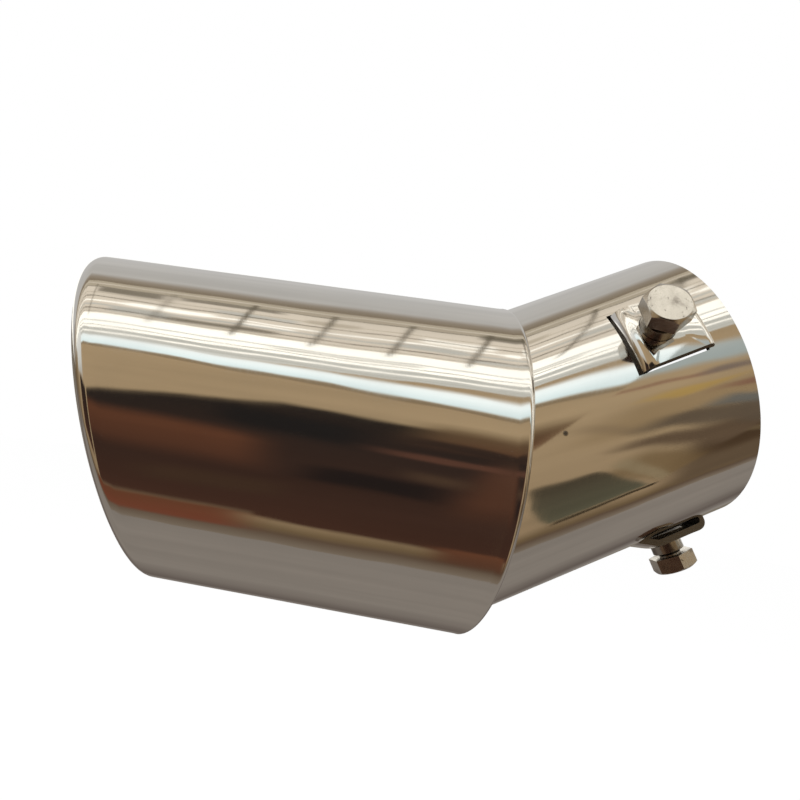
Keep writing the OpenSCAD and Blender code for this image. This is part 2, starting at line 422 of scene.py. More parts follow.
def clamp_matrix(which):
    """+Z leaves the pipe's axis through the bolt, +X runs to the mouth."""
    turn = Matrix.Rotation(math.radians(90 - CLOCKS[which]), 4, "X")
    return PIPE_TURN @ turn @ Matrix.Translation((-INSET[which], 0, 0))


def pipe_point(s, clock, r):
    """A point of the pipe: s along its axis, and the clock angle from the near side upwards."""
    return PIPE_TURN @ Vector((s, -r * math.cos(clock), r * math.sin(clock)))


def mouth_s(clock):
    """Where the slanted mouth cuts the wall."""
    t = math.tan(math.radians(MOUTH_SLANT))
    return PIPE_R * t + PIPE_R * math.sin(clock) * t


def inner_s(clock, r):
    """Where the upright plane inside the shell cuts the wall."""
    b = math.radians(BEND)
    return (BACK.x - PIPE_INSIDE + r * math.sin(clock) * math.sin(b)) / math.cos(b)


def spread(lo, hi, fixed, step):
    """Rising values from lo to hi that take in each fixed one, about a step apart."""
    marks = [lo] + sorted(fixed) + [hi]
    out = []
    for a, b in zip(marks, marks[1:]):
        n = max(1, math.ceil((b - a) / step))
        out += [lerp(a, b, i / n) for i in range(n)]
    return out + [hi]


BODY_ROWS = 26
MOUTH_ROWS = 8
CELL_LEN = 2.0
CELL_ANGLE = math.radians(1.25)


def build_pipe_wall():
    """The tube with its two windows: outer and inner faces, joined at every edge."""
    half = math.asin((TONGUE_W / 2 + SIDE_GAP) / PIPE_R)
    marks, windows, cuts = [], [], []
    for which, clock in CLOCKS.items():
        c = math.radians(clock)
        tip = -TONGUE_FRONT[which] - TIP_DEPTH[which] / math.tan(RAMP[which])
        s0 = -INSET[which] + (tip - SLOT_GAP) / math.cos(SKEW[which])
        s1 = -INSET[which] + (TONGUE_BACK[which] - SHEET) / math.cos(SKEW[which])
        windows.append((c, s0, s1, math.tan(SKEW[which])))
        marks += [c - half, c + half]
        cuts += [s0, s1]
    low = -math.pi
    phis = spread(low, low + 2 * math.pi, marks, CELL_ANGLE)[:-1]
    cuts.sort()
    stations = [("in", k / BODY_ROWS) for k in range(BODY_ROWS)]
    stations += [("win", v) for v in spread(cuts[0], cuts[-1], cuts[1:-1], CELL_LEN)]
    stations += [("out", (k + 1) / MOUTH_ROWS) for k in range(MOUTH_ROWS)]

    def lean(phi):
        """How far the rows run askew beside a window, so that its ends follow the mouth."""
        out = 0.0
        for c, _, _, slope in windows:
            gap = max(-half, min(half, phi - c))
            fade = max(0.0, 1 - max(0.0, abs(phi - c) - half) / half)
            out += slope * PIPE_R * math.sin(gap) * fade
        return out

    def place(kind, t, phi, r):
        """The station's place along the pipe's axis, at the clock angle phi."""
        if kind == "in":
            return lerp(inner_s(phi, r), cuts[0] + lean(phi), t)
        if kind == "win":
            return t + lean(phi)
        return lerp(cuts[-1] + lean(phi), mouth_s(phi), t)

    rows, cols = len(stations), len(phis)
    verts = []
    for r in (PIPE_R, BORE_R):
        for kind, t in stations:
            verts += [pipe_point(place(kind, t, phi, r), phi, r) for phi in phis]

    def open_cell(i, j):
        """Whether the cell lies in a window."""
        if not (stations[i][0] == "win" and stations[i + 1][0] == "win"):
            return False
        mid = (phis[j] + (phis[j + 1] if j + 1 < cols else phis[0] + 2 * math.pi)) / 2
        at = (stations[i][1] + stations[i + 1][1]) / 2
        return any(abs(mid - c) < half and s0 < at < s1 for c, s0, s1, _ in windows)

    faces, inside = [], []
    layer = rows * cols
    edge_use = {}
    for i in range(rows - 1):
        for j in range(cols):
            if open_cell(i, j):
                continue
            m = (j + 1) % cols
            quad = (i * cols + j, i * cols + m, (i + 1) * cols + m, (i + 1) * cols + j)
            faces.append(quad)
            faces.append(tuple(layer + v for v in reversed(quad)))
            inside += [0.0, 1.0]
            for a, b in zip(quad, quad[1:] + quad[:1]):
                key = (min(a, b), max(a, b))
                edge_use[key] = edge_use.get(key, 0) + 1
    # the windows' cut faces take the dark inner tone in full, painted shade in the openings; the
    # mouth's rim takes less of it
    for (a, b), used in edge_use.items():
        if used == 1:
            faces.append((a, b, layer + b, layer + a))
            inside.append(0.3 if min(a, b) >= (rows - 1) * cols else 1.0)
    return verts, faces, inside


RAMP_ROWS = 6
CURL_STEPS = 12
LEVEL_ROW = RAMP_ROWS + CURL_STEPS  # where the tongue's level part starts
TONGUE_COLS = 21


def tongue_profile(which):
    """The tongue's side view from its free end to its root, as (outer s, r, inner s, r)."""
    top, lift, ramp = PIPE_R + LIFT[which], LIFT[which], RAMP[which]
    front, back = TONGUE_FRONT[which], TONGUE_BACK[which]
    run = (lift - CURL_R * (1 - math.cos(ramp))) / math.tan(ramp)
    middle = run + CURL_R * math.sin(ramp) - front
    rows = []
    for k in range(RAMP_ROWS):
        drop = lerp(-TIP_DEPTH[which], run * math.tan(ramp), k / RAMP_ROWS)
        s, r = -front + drop / math.tan(ramp), PIPE_R + drop
        # the pipe's bore cuts the inner corner of the free end
        thick = min(SHEET, (r - BORE_R) / math.cos(ramp))
        rows.append((s, r, s + thick * math.sin(ramp), r - thick * math.cos(ramp)))
    for k in range(CURL_STEPS + 1):
        t = ramp * (1 - k / CURL_STEPS)
        c, d = math.cos(t), -math.sin(t)
        rows.append((middle + CURL_R * d, top - CURL_R + CURL_R * c,
                     middle + (CURL_R - SHEET) * d, top - CURL_R + (CURL_R - SHEET) * c))
    for k in range(CURL_STEPS + 1):
        t = math.radians(90 * k / CURL_STEPS)
        c, d = math.cos(t), math.sin(t)
        s, r = back - ROOT_R, top - ROOT_R
        rows.append((s + ROOT_R * d, r + ROOT_R * c,
                     s + (ROOT_R - SHEET) * d, r + (ROOT_R - SHEET) * c))
    for k in (1, 2):
        r = lerp(top - ROOT_R, PIPE_R - SHEET * 0.6, k / 2)
        rows.append((back, r, back - SHEET, r))
    return rows


def build_tongue(which):
    """The bent strip of the wall with the hole for the nut's collar, as one closed shell."""
    prof = tongue_profile(which)
    top = PIPE_R + LIFT[which]
    m = clamp_matrix(which)
    half = TONGUE_W / 2
    cols = TONGUE_COLS
    ys = [lerp(-half, half, j / (cols - 1)) for j in range(cols)]
    c, d = math.cos(SKEW[which]), math.sin(SKEW[which])
    verts, faces, marks = [], [], []
    index = {}

    def vert(x, y, r, drag):
        """The point over (x, y) on a round of radius r, whose axis is turned by the skew.

        drag is how far the press has drawn in the sheet at its sheared sides.
        """
        across = x * d + y * c
        if abs(abs(y) - half) < 1e-6:
            r = max(BORE_R, r - drag)
        key = (round(x, 3), round(y, 3), round(r, 3))
        if key not in index:
            index[key] = len(verts)
            verts.append(m @ Vector((x, y, math.sqrt(r * r - across * across))))
        return index[key]

    def at(s, y, r, drag):
        """The point at s in the side view and at y across the tongue."""
        across = (y + s * d) / c
        return vert(s * c + across * d, y, r, drag)

    def outer(i, j):
        return at(prof[i][0], ys[j], prof[i][1], EDGE_DRAG[0])

    def inner(i, j):
        return at(prof[i][2], ys[j], prof[i][3], EDGE_DRAG[1])

    def face(mark, *corners):
        faces.append(corners)
        marks.append(mark)

    n = len(prof)
    for i in range(n - 1):
        if i == LEVEL_ROW:
            continue
        for j in range(cols - 1):
            face(0.0, outer(i, j), outer(i, j + 1), outer(i + 1, j + 1), outer(i + 1, j))
            face(1.0, inner(i, j), inner(i + 1, j), inner(i + 1, j + 1), inner(i, j + 1))
        # the sheared sides and the ends take the pipe's dark inner tone: painted shade in the slot
        # and the gap round the tongue
        for j in (0, cols - 1):
            face(0.9, outer(i, j), outer(i + 1, j), inner(i + 1, j), inner(i, j))
    for i in (0, n - 1):
        for j in range(cols - 1):
            face(1.0, outer(i, j), outer(i, j + 1), inner(i, j + 1), inner(i, j))

    # the level part with its round hole: rays from the hole's edge to the part's border
    sa, sb = prof[LEVEL_ROW][0], prof[LEVEL_ROW + 1][0]
    steps = 14
    border = [(sa, y) for y in ys] + [(lerp(sa, sb, k / steps), half) for k in range(1, steps)]
    border += [(sb, y) for y in reversed(ys)]
    border += [(lerp(sb, sa, k / steps), -half) for k in range(1, steps)]
    border = [(s * c + (y + s * d) / c * d, y) for s, y in border]
    hole = COLLAR_D / 2 + HOLE_GAP
    levels = []
    for r, drag in ((top, EDGE_DRAG[0]), (top - SHEET, EDGE_DRAG[1])):
        ring = []
        for x, y in border:
            k = hole / math.hypot(x, y)
            ring.append([
                vert(lerp(x * k, x, t), lerp(y * k, y, t), r, drag) for t in (0, 0.2, 0.5, 1)
            ])
        levels.append(ring)
    count = len(border)
    for k in range(count):
        q = (k + 1) % count
        for mark, ring in enumerate(levels):
            for a in range(3):
                face(float(mark), ring[k][a], ring[q][a], ring[q][a + 1], ring[k][a + 1])
        face(1.0, levels[0][k][0], levels[0][q][0], levels[1][q][0], levels[1][k][0])
        # these sides too take the dark inner tone as painted shade
        if border[k][1] == border[q][1]:
            face(0.9, levels[0][k][3], levels[0][q][3], levels[1][q][3], levels[1][k][3])
    return verts, faces, marks


def build_pipe(material):
    verts, faces, inside = build_pipe_wall()
    for which in CLOCKS:
        v, f, marks = build_tongue(which)
        k = len(verts)
        verts += v
        inside += marks
        faces += [tuple(i + k for i in corners) for corners in f]
    return make_piece(
        "inlet_tube", verts, faces, "inlet_pipe", material, bevel=0.12,
        inside=inside,
    )


# Nuts and bolts

def rows_to_mesh(rows, m):
    """Closed rows of points, each joined to the next, with the first and last capped."""
    cols = len(rows[0])
    verts = [m @ Vector(p) for row in rows for p in row]
    faces = grid_faces(len(rows), cols, close_cols=True)
    faces.append(tuple(range(cols)))
    faces.append(tuple(range((len(rows) - 1) * cols, len(rows) * cols)))
    return verts, faces


ROUND = 96  # points round a nut or bolt
WASHER_R = 4.3


def ring(r, z, count):
    """Points at one height round the axis; r may depend on the angle, and z on both."""
    out = []
    for k in range(count):
        t = 2 * math.pi * k / count
        radius = r(t) if callable(r) else r
        height = z(radius, t) if callable(z) else z
        out.append((radius * math.cos(t), radius * math.sin(t), height))
    return out


def hex_r(t):
    """Radius of the bolt's head at the angle t."""
    a = math.fmod(t + math.radians(30), math.radians(60)) - math.radians(30)
    return HEAD_AF / 2 / math.cos(a)


def square_r(t):
    """Radius of the nut's plate at the angle t."""
    a = math.fmod(t + math.radians(45), math.radians(90)) - math.radians(45)
    return NUT_W / 2 / math.cos(a)


def thread_rows(lo, hi, r, depth, pitch, count, step=0.125):
    """A right-hand thread from lo up to hi, which fades in over the bolt's tip."""
    rows = []
    n = math.ceil((hi - lo) / step)
    for i in range(n + 1):
        z = lerp(lo, hi, i / n)
        row = []
        for k in range(count):
            t = 2 * math.pi * k / count
            phase = (z / pitch - t / (2 * math.pi)) % 1.0
            ridge = min(1.0, max(0.0, 2.6 * abs(phase - 0.5) - 0.15))
            fade = min(1.0, (z - lo) / 0.9)
            radius = r - depth * ridge * 0.95 - (1 - fade) * depth * 0.8
            row.append((radius * math.cos(t), radius * math.sin(t), z))
        rows.append(row)
    return rows


def build_bolt(which, material):
    seat = PLATE_TOP[which] + COLLAR_H + BACKED_OUT[which]
    tip = seat - BOLT_LEN
    face_r = 0.47 * HEAD_AF
    slope = math.tan(math.radians(30))

    def chamfer(r, t):
        return seat + HEAD_H - max(0.0, r - face_r) * slope

    shank = BOLT_D / 2
    neck = shank - 0.25
    rows = [ring(0.6, tip, ROUND), ring(1.6, tip, ROUND)]
    rows += thread_rows(tip, seat - 0.45, shank - 0.02, 0.5, 1.0, ROUND)
    shank_faces = ROUND * len(rows)
    rows += [ring(neck, seat - 0.2, ROUND), ring(neck, seat, ROUND)]
    rows += [ring(WASHER_R, seat, ROUND), ring(hex_r, seat, ROUND)]
    rows += [
        ring(hex_r, lambda r, t, f=f: lerp(seat, chamfer(r, t), f), ROUND)
        for f in (0.2, 0.5, 0.8, 1.0)
    ]
    rows += [ring(r, seat + HEAD_H, ROUND) for r in (face_r, 3.2, 1.6, 0.5)]
    m = clamp_matrix(which) @ Matrix.Rotation(math.radians(HEAD_TURN[which]), 4, "Z")
    verts, faces = rows_to_mesh(rows, m)
    # the threaded shank is marked for the plating's near-black painted shade
    inside = [0.8] * shank_faces + [0.0] * (len(faces) - shank_faces)
    return make_piece(
        which + "_clamp_bolt", verts, faces, which + "_bolt", material, bevel=0.16,
        inside=inside,
    )


def build_nut(which, material):
    bore = BOLT_D / 2 + 0.04
    top = PLATE_TOP[which]
    low = top - NUT_H
    collar, collar_top = COLLAR_D / 2, top + COLLAR_H
    rows = [
        ring(r, z, ROUND)
        for r, z in (
            (bore, low + 0.35), (bore + 0.35, low), (WASHER_R, low),
            (square_r, low), (square_r, lerp(low, top, 0.5)), (square_r, top),
            (collar, top), (collar, lerp(top, collar_top, 0.5)), (collar, collar_top),
            (bore + 0.3, collar_top), (bore, collar_top - 0.3), (bore, lerp(low, collar_top, 0.5)),
        )
    ]
    m = clamp_matrix(which) @ Matrix.Rotation(NUT_TURN[which], 4, "Z")
    verts = [m @ Vector(p) for row in rows for p in row]
    faces = grid_faces(len(rows), ROUND, close_cols=True, close_rows=True)
    return make_piece(
        which + "_clamp_nut", verts, faces, which + "_nut", material, bevel=0.2
    )


# The part

shell_steel = polished_steel("shell_polish", (0, 0, 0), (0.38, 0.37, 0.35))
SPECK = ((-0.0388, -0.0346, -0.0167), 0.0007)  # its place and radius, in m
# the pipe's inner tone is dark: painted shade on its bore and on the cut faces of its windows and
# tongues
pipe_steel = polished_steel(
    "pipe_polish", (0, math.radians(BEND), 0), (0.16, 0.15, 0.138), [SPECK]
)
head_plating = plated_steel("bolt_plating", (0.30, 0.275, 0.25), (0.56, 0.53, 0.49), (0.14, 0.28))
# the nut's tones are far darker than the bolt's: painted shade for its place under the tongue and
# the head
nut_plating_and_shade = plated_steel("nut_plating_and_shade", (0.06, 0.05, 0.045), (0.36, 0.34, 0.31), (0.14, 0.34))
build_shell(shell_steel)
build_pipe(pipe_steel)
for which in CLOCKS:
    build_nut(which, nut_plating_and_shade)
    build_bolt(which, head_plating)


# The studio

def card_material(name):
    """Glow in the colours of the card's vertices, whose alpha lets the cards behind show."""
    mat, tree, out = blank_material(name)
    link = tree.links.new
    tone = add(tree, "ShaderNodeAttribute", attribute_name="tone")
    glow = add(tree, "ShaderNodeEmission", Strength=1.0)
    clear = tree.nodes.new("ShaderNodeBsdfTransparent")
    mix = tree.nodes.new("ShaderNodeMixShader")
    long = object_coords(tree, (1.4, 7, 7))
    mottle = remap(tree, noise(tree, long, 1.6, 3, 0.55), 0.3, 0.7, 0.93, 1.07)
    shade = add(tree, "ShaderNodeVectorMath", operation="SCALE")
    link(tone.outputs["Color"], shade.inputs[0])
    link(mottle, shade.inputs["Scale"])
    link(shade.outputs[0], glow.inputs["Color"])
    link(tone.outputs["Alpha"], mix.inputs[0])
    link(clear.outputs[0], mix.inputs[1])
    link(glow.outputs[0], mix.inputs[2])
    link(mix.outputs[0], out.inputs["Surface"])
    mat.cycles.emission_sampling = "NONE"
    return mat


# Glowing cards on a tube round the part, which only shiny surfaces see. They stand for the room
# that the photo's steel mirrors: a scratch script traced the photo's reflections back to this
# tube, and the cards' places follow that picture. Their tones were given and then corrected
# beside the photo. Nearly every band on the steel comes from them, and not from the part.
TUBE_Z = -28.2
TUBE_R = 500.0
NO_FADE = (0, 0, 0, 0)
card_glow = card_material("card_glow")


def smooth(t):
    """From 0 to 1, level at both ends."""
    t = max(0.0, min(1.0, t))
    return t * t * (3 - 2 * t)


def waver(x, e):
    """The cards hang a little unevenly, so that their reflections don't run dead straight."""
    slow = 0.55 * math.sin(0.017 * x + 1.0) + 0.3 * math.sin(0.045 * x + 0.05 * e)
    return slow + 0.2 * math.sin(0.11 * x + e)


def glow_mesh(name, verts, faces, tones):
    """A stage mesh in mm that glows in its vertices' tones. Only shiny surfaces see it."""
    mesh = bpy.data.meshes.new(name)
    mesh.from_pydata([Vector(v) * MM for v in verts], [], faces)
    attr = mesh.color_attributes.new("tone", "FLOAT_COLOR", "POINT")
    for k, c in enumerate(tones):
        attr.data[k].color = c
    mesh.materials.append(card_glow)
    obj = new_object(name, mesh)
    obj.visible_camera = False
    obj.visible_diffuse = False
    obj.visible_shadow = False
    obj.visible_volume_scatter = False


def card(name, corners, tones, radius=TUBE_R, soft=NO_FADE, alpha=1.0):
    """A studio card on a tube round the shell's axis, which only shiny surfaces see.

    corners are four (x in mm, angle in degrees: 0 towards the camera, 90 up), tones their colours,
    and soft the share of the card over which its left, right, low and high sides fade out.
    """
    (xa, ea), (xb, eb), (xc, ec), (xd, ed) = corners
    n = max(8, math.ceil(max(abs(ed - ea), abs(ec - eb)) / 2.5))
    across = max(8, math.ceil(max(abs(xb - xa), abs(xc - xd)) / 15))
    verts, cols = [], []
    for i in range(n + 1):
        v = i / n
        for j in range(across + 1):
            u = j / across
            x = lerp(lerp(xa, xb, u), lerp(xd, xc, u), v)
            e = lerp(lerp(ea, eb, u), lerp(ed, ec, u), v)
            e = math.radians(e + waver(x, e))
            verts.append((x, -radius * math.cos(e), TUBE_Z + radius * math.sin(e)))
            low = Vector(tones[0]).lerp(Vector(tones[1]), u)
            high = Vector(tones[3]).lerp(Vector(tones[2]), u)
            show = alpha
            for t, width in ((u, soft[0]), (1 - u, soft[1]), (v, soft[2]), (1 - v, soft[3])):
                if width:
                    show *= smooth(t / width)
            cols.append((*low.lerp(high, v), show))
    glow_mesh(name, verts, grid_faces(n + 1, across + 1), cols)


def flat_card(name, corners, tone, radius, soft=NO_FADE, alpha=1.0):
    """A card of one tone."""
    card(name, corners, [tone] * 4, radius, soft, alpha)


def strip(name, x0, x1, e0, e1, low, high, radius=TUBE_R, soft=NO_FADE, alpha=1.0):
    """A card with level sides, from its low tone up to its high one."""
    corners = [(x0, e0), (x1, e0), (x1, e1), (x0, e1)]
    card(name, corners, [low, low, high, high], radius, soft, alpha)


def band(name, spots, low, high, radius, soft, alpha=1.0):
    """A card along a bent line: spots are (x, lower angle, upper angle)."""
    for (xa, la, ha), (xb, lb, hb) in zip(spots, spots[1:]):
        corners = [(xa, la), (xb, lb), (xb, hb), (xa, ha)]
        card(name, corners, [low, low, high, high], radius, soft, alpha)


FAR = 1500.0
CEILING = (0.56, 0.54, 0.505)
CEILING_PALE = (0.57, 0.56, 0.545)
CEILING_EDGE = (0.33, 0.28, 0.22)
CEILING_DARK = (0.24, 0.19, 0.13)
GROUND = (0.265, 0.232, 0.20)
GROUND_DIM = (0.135, 0.11, 0.095)
GROUND_PALE = (0.3, 0.27, 0.24)
EARTH = (0.12, 0.08, 0.052)
EARTH_PALE = (0.22, 0.175, 0.13)
DUSK = (0.22, 0.19, 0.15)
TAN = (0.44, 0.32, 0.185)
TAN_DIM = (0.32, 0.225, 0.13)
TAN_DEEP = (0.17, 0.115, 0.06)
CREAM = (0.84, 0.745, 0.61)
CREAM_DIM = (0.52, 0.45, 0.34)
BAR = (0.16, 0.135, 0.095)
WHITE = (1.5, 1.45, 1.3)
WHITE_DIM = (1.0, 0.99, 0.96)
GREY = (0.60, 0.59, 0.53)
GREY_PALE = (0.68, 0.67, 0.6)
SKY = (0.85, 1.02, 1.03)
SKY_PALE = (1.2, 1.25, 1.22)
SKY_DIM = (0.38, 0.46, 0.46)
SHADE = (0.024, 0.019, 0.016)
BROWN = (0.145, 0.056, 0.028)
RUST = (0.18, 0.055, 0.030)
UMBER = (0.062, 0.028, 0.018)
OLIVE = (0.105, 0.098, 0.062)

# the room behind everything: angle from, angle to, low tone, high tone, from the ground behind
# the part round the near side to the ceiling
ROOM = (
    (-180, -158, DUSK, DUSK),
    (-158, -140, GROUND_PALE, GROUND_DIM),
    (-140, -114, GROUND_DIM, GROUND),
    (-114, -70, GROUND, GROUND),
    (-70, -62, EARTH_PALE, EARTH),
    (-62, -58.2, EARTH, TAN_DEEP),
    (-58.2, -50, TAN_DEEP, TAN_DIM),
    (-50, 24, TAN_DIM, TAN),
    (24, 50, TAN, TAN),
    (50, 57, GREY_PALE, GREY),
    (57, 69, WHITE, WHITE),
    (69, 95, CREAM, CREAM),
    (95, 101.5, CREAM_DIM, CREAM_DIM),
    (101.5, 107, CEILING_DARK, CEILING_EDGE),
    (107, 112, CEILING_EDGE, CEILING),
    (112, 158, CEILING, CEILING_PALE),
    (158, 171, WHITE_DIM, WHITE),
    (171, 180, DUSK, DUSK),
)
for low_e, high_e, low_tone, high_tone in ROOM:
    strip("room", -FAR, FAR, low_e, high_e, low_tone, high_tone)


def room_tone(e):
    """The room's tone at the angle e."""
    for low_e, high_e, low_tone, high_tone in ROOM:
        if e <= high_e:
            return Vector(low_tone).lerp(Vector(high_tone), (e - low_e) / (high_e - low_e))


def end_wall(x):
    """The room's far ends, in the tones of its sides and duller towards the middle."""
    turns, rings = 72, 5
    verts, cols = [], []
    for i in range(rings):
        for k in range(turns):
            e = -180 + 360 * k / turns
            r = 510 * (0.04 + 0.96 * i / (rings - 1))
            t = math.radians(e)
            verts.append((x, -r * math.cos(t), TUBE_Z + r * math.sin(t)))
            cols.append((*Vector(TAN_DEEP).lerp(room_tone(e) * 0.8, i / (rings - 1)), 1.0))
    faces = grid_faces(rings, turns, close_cols=True) + [tuple(range(turns))]
    glow_mesh("room_end", verts, faces, cols)


end_wall(-FAR)
end_wall(FAR)

# the pale sky band drops to the right under the skylight and breaks up past the clamp
band("sky", [(-FAR, 44.5, 52), (-340, 44.5, 52), (-130, 41, 50), (30, 35, 47), (90, 33, 45)],
     SKY, SKY_PALE, 496, (0, 0, 0.12, 0.3))
band("sky", [(90, 33, 45), (200, 31, 43), (500, 24, 38), (FAR, 12, 28)],
     SKY_DIM, (0.5, 0.56, 0.55), 496, (0, 0, 0.3, 0.3), 0.9)
band("sky_edge",
     [(-FAR, 42.5, 45), (-340, 42.5, 45), (-130, 38, 41.5), (30, 32.5, 35.5), (90, 30, 33)],
     TAN_DEEP, (0.3, 0.23, 0.15), 494, (0, 0, 0.5, 0.3), 0.85)
band("sky_under", [(90, 28, 31), (200, 26, 29), (500, 18, 22)],
     (0.24, 0.11, 0.07), (0.24, 0.11, 0.07), 494, (0, 0, 0.5, 0.5), 0.7)

# the skylight's rails, slanted bars and uneven panes
for e, w, tone in (
    (98.5, 1.2, CREAM), (94.6, 1.0, BAR), (88, 0.8, CREAM_DIM), (84.3, 1.2, BAR),
    (80, 1.6, WHITE), (76.5, 2.0, GREY), (73, 1.2, BAR), (70, 0.8, CREAM_DIM),
    (62.5, 1.4, GREY), (59, 0.8, BAR), (54, 1.6, WHITE), (51.6, 0.9, GREY),
):
    strip("rail", -FAR, FAR, e - w / 2, e + w / 2, tone, tone, 488, (0, 0, 0.35, 0.35), 0.9)
BAR_STEP = 75
for k in range(-14, 16):
    x = BAR_STEP * k
    flat_card("bar", [(x, 65), (x + 8, 65), (x + 42, 97.5), (x + 34, 97.5)], BAR, 486,
              (0.3, 0.3, 0.1, 0), 0.9 if k > -4 else 0.5)
for x, e, w, h, tone, share in (
    (-345, 88, 70, 8, BAR, 0.85), (-270, 91, 110, 4, BAR, 0.8), (-335, 71, 60, 6, GREY, 0.9),
    (-300, 70.5, 130, 5, BAR, 0.7), (-320, 78, 90, 5, WHITE, 0.9), (-240, 83, 90, 5, GREY, 0.8),
    (-215, 76, 60, 3, WHITE, 0.8), (-190, 60, 160, 2, BAR, 0.5), (-150, 86, 60, 5, CREAM_DIM, 0.7),
    (-60, 74, 70, 6, GREY, 0.8), (-40, 81, 80, 6, WHITE, 0.6), (20, 91, 70, 7, BAR, 0.8),
    (0, 70, 90, 4, GREY, 0.8), (40, 78, 60, 4, WHITE, 0.8), (30, 52, 80, 4, GREY, 0.9),
    (-340, 62, 140, 3.5, WHITE, 0.9), (110, 84, 90, 5, GREY, 0.7), (150, 68, 120, 4, BAR, 0.6),
    (130, 56, 90, 6, BAR, 0.6), (230, 76, 120, 6, WHITE, 0.8), (300, 60, 160, 6, GREY, 0.8),
    (420, 50, 200, 5, BAR, 0.6), (260, 46, 240, 3, WHITE, 0.8),
):
    flat_card("pane", [(x, e), (x + w, e), (x + w + 0.9 * h, e + h), (x + 0.9 * h, e + h)],
              tone, 492, (0.12, 0.12, 0.3, 0.3), share)

# a pale wall far to the left, which lights the tongues' bent free ends
strip("pale_wall", -1450, -500, 13, 58, (0.50, 0.48, 0.43), (0.95, 0.95, 0.9), 485,
      (0.1, 0.12, 0.2, 0.15))

# a plain dark card near the camera, with soft edges and uneven dark tones
card("shade", [(-420, -52), (-170, -53), (-170, 25.5), (-420, 11)],
     [UMBER, UMBER, SHADE, SHADE], 476, (0.02, 0, 0.05, 0.04))
card("shade", [(-170, -53), (74, -55.5), (74, 19), (-170, 25.5)],
     [UMBER, UMBER, SHADE, SHADE], 476, (0, 0.01, 0.02, 0.03))
card("shade", [(-1000, -40), (-452, -40), (-452, 14), (-1000, 20)],
     [UMBER, UMBER, SHADE, SHADE], 476, (0.1, 0.02, 0.1, 0.1))
card("shade_right", [(-90, 8), (80, 6), (80, 24), (-60, 27)],
     [UMBER, BROWN, TAN_DEEP, TAN_DEEP], 472, (0.4, 0, 0.4, 0.3), 0.9)
card("shade_left", [(-430, -24), (-150, -26), (-160, 4), (-420, 9)],
     [UMBER, UMBER, BROWN, BROWN], 470, (0.05, 0.2, 0.4, 0.25), 0.95)
flat_card("shade_middle", [(-300, -42), (-140, -38), (-120, -22), (-300, -26)],
          (0.06, 0.033, 0.02), 468, (0.3, 0.3, 0.4, 0.4), 0.9)
flat_card("shade_core", [(-240, 6), (-70, -2), (-60, 16), (-235, 22)],
          (0.017, 0.015, 0.014), 467, (0.2, 0.3, 0.35, 0.3), 0.95)
flat_card("shade_core", [(-170, -22), (10, -26), (10, -12), (-150, -9)],
          (0.016, 0.012, 0.011), 467, (0.3, 0.3, 0.3, 0.3), 0.9)
card("shade_fold", [(-30, -36), (80, -36), (80, 12), (10, 10)],
     [BROWN, UMBER, (0.13, 0.06, 0.036), UMBER], 466, (0.5, 0.05, 0.4, 0.3), 0.9)
flat_card("shade_fold", [(-110, 2), (60, -2), (60, 3), (-100, 7)],
          (0.125, 0.056, 0.036), 464, (0.4, 0.2, 0.35, 0.35), 0.8)
flat_card("shade_fold", [(-80, 11), (70, 6), (70, 11), (-60, 17)],
          (0.03, 0.02, 0.016), 463, (0.3, 0.1, 0.35, 0.35), 0.8)
flat_card("shade_fold", [(-70, -12), (20, -16), (30, -6), (-60, -3)],
          (0.085, 0.05, 0.03), 462, (0.4, 0.4, 0.5, 0.5), 0.8)
strip("shade_foot", -520, -150, -64, -50, RUST, BROWN, 474, (0, 0.15, 0.15, 0.1))
strip("shade_foot", -20, 74, -64, -50, (0.09, 0.045, 0.028), BROWN, 474, (0.35, 0.03, 0.3, 0.1))

# the far wall, past the card: dark brown, with an olive panel and faint coloured streaks
flat_card("wall_dim", [(250, 14), (FAR, -4), (FAR, -61), (620, -61)],
          (0.13, 0.088, 0.052), 484, (0.12, 0, 0.3, 0.06))
flat_card("streak", [(360, -8), (FAR, -24), (FAR, -46), (620, -42)],
          (0.075, 0.045, 0.024), 480, (0.12, 0, 0.3, 0.4))
flat_card("streak", [(420, -9), (760, -26), (800, -31), (440, -16)],
          (0.17, 0.12, 0.065), 479, (0.3, 0.3, 0.3, 0.3), 0.8)
flat_card("streak", [(270, 8), (560, -9), (540, -1), (290, 13)],
          (0.15, 0.148, 0.132), 478, (0.3, 0.3, 0.3, 0.3), 0.95)
flat_card("streak", [(250, 15), (460, 8), (450, 13), (230, 19)],
          (0.22, 0.10, 0.07), 477, (0.4, 0.3, 0.3, 0.3), 0.8)
flat_card("streak", [(120, 21), (240, 16), (330, 20), (150, 25)],
          (0.46, 0.30, 0.09), 476, (0.4, 0.4, 0.3, 0.3), 0.85)
flat_card("streak", [(60, 16), (300, -4), (320, -1), (80, 20)],
          (0.27, 0.19, 0.11), 476, (0.4, 0.3, 0.4, 0.4), 0.8)
flat_card("streak", [(90, 2), (420, -8), (430, 22), (90, 26)],
          (0.30, 0.205, 0.105), 483, (0.35, 0.2, 0.35, 0.35), 0.75)
flat_card("streak", [(300, -22), (580, -47), (640, -30), (290, -7)],
          (0.187, 0.121, 0.057), 481, (0.3, 0.1, 0.2, 0.3), 0.85)
flat_card("streak", [(200, -3), (620, -31), (640, -15), (220, 1)],
          (0.13, 0.086, 0.052), 475, (0.25, 0.1, 0.35, 0.35))
flat_card("streak", [(190, 5), (640, -21), (660, -9), (210, 12)],
          (0.125, 0.092, 0.062), 474, (0.2, 0.1, 0.3, 0.3), 0.95)
flat_card("streak", [(170, 27), (300, 22), (310, 27), (170, 31)],
          (0.2, 0.155, 0.127), 473, (0.25, 0.3, 0.35, 0.35), 0.9)
